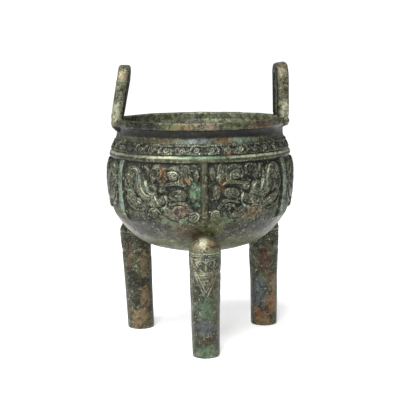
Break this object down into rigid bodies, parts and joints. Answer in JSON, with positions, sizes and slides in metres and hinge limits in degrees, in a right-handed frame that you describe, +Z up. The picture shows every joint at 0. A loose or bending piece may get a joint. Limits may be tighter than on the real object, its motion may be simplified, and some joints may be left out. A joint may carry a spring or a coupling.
{
  "type": "bronze ding vessel",
  "caption": "Ancient-style cast bronze ding: a round bowl with beast-mask relief, flanges and a banded neck, on column legs, with upright loop handles on its rim.",
  "frame": {"origin": "on the bowl's vertical axis, level with the flat undersides of the feet", "axes": "+Z up along the bowl's axis; -Y through the front leg, below the middle of the front mask; +X and -X through the handles"},
  "size_m": [0.1595, 0.1624, 0.2343],
  "materials": {
    "patinated_bronze": "old cast bronze with a dark olive-brown to grey-green patina, pale malachite green in the recesses, worn satin edges, and patches of tan, rust and cream encrustation"
  },
  "bodies": {
    "root": {"vessel": "patinated_bronze"}
  },
  "joints": []
}
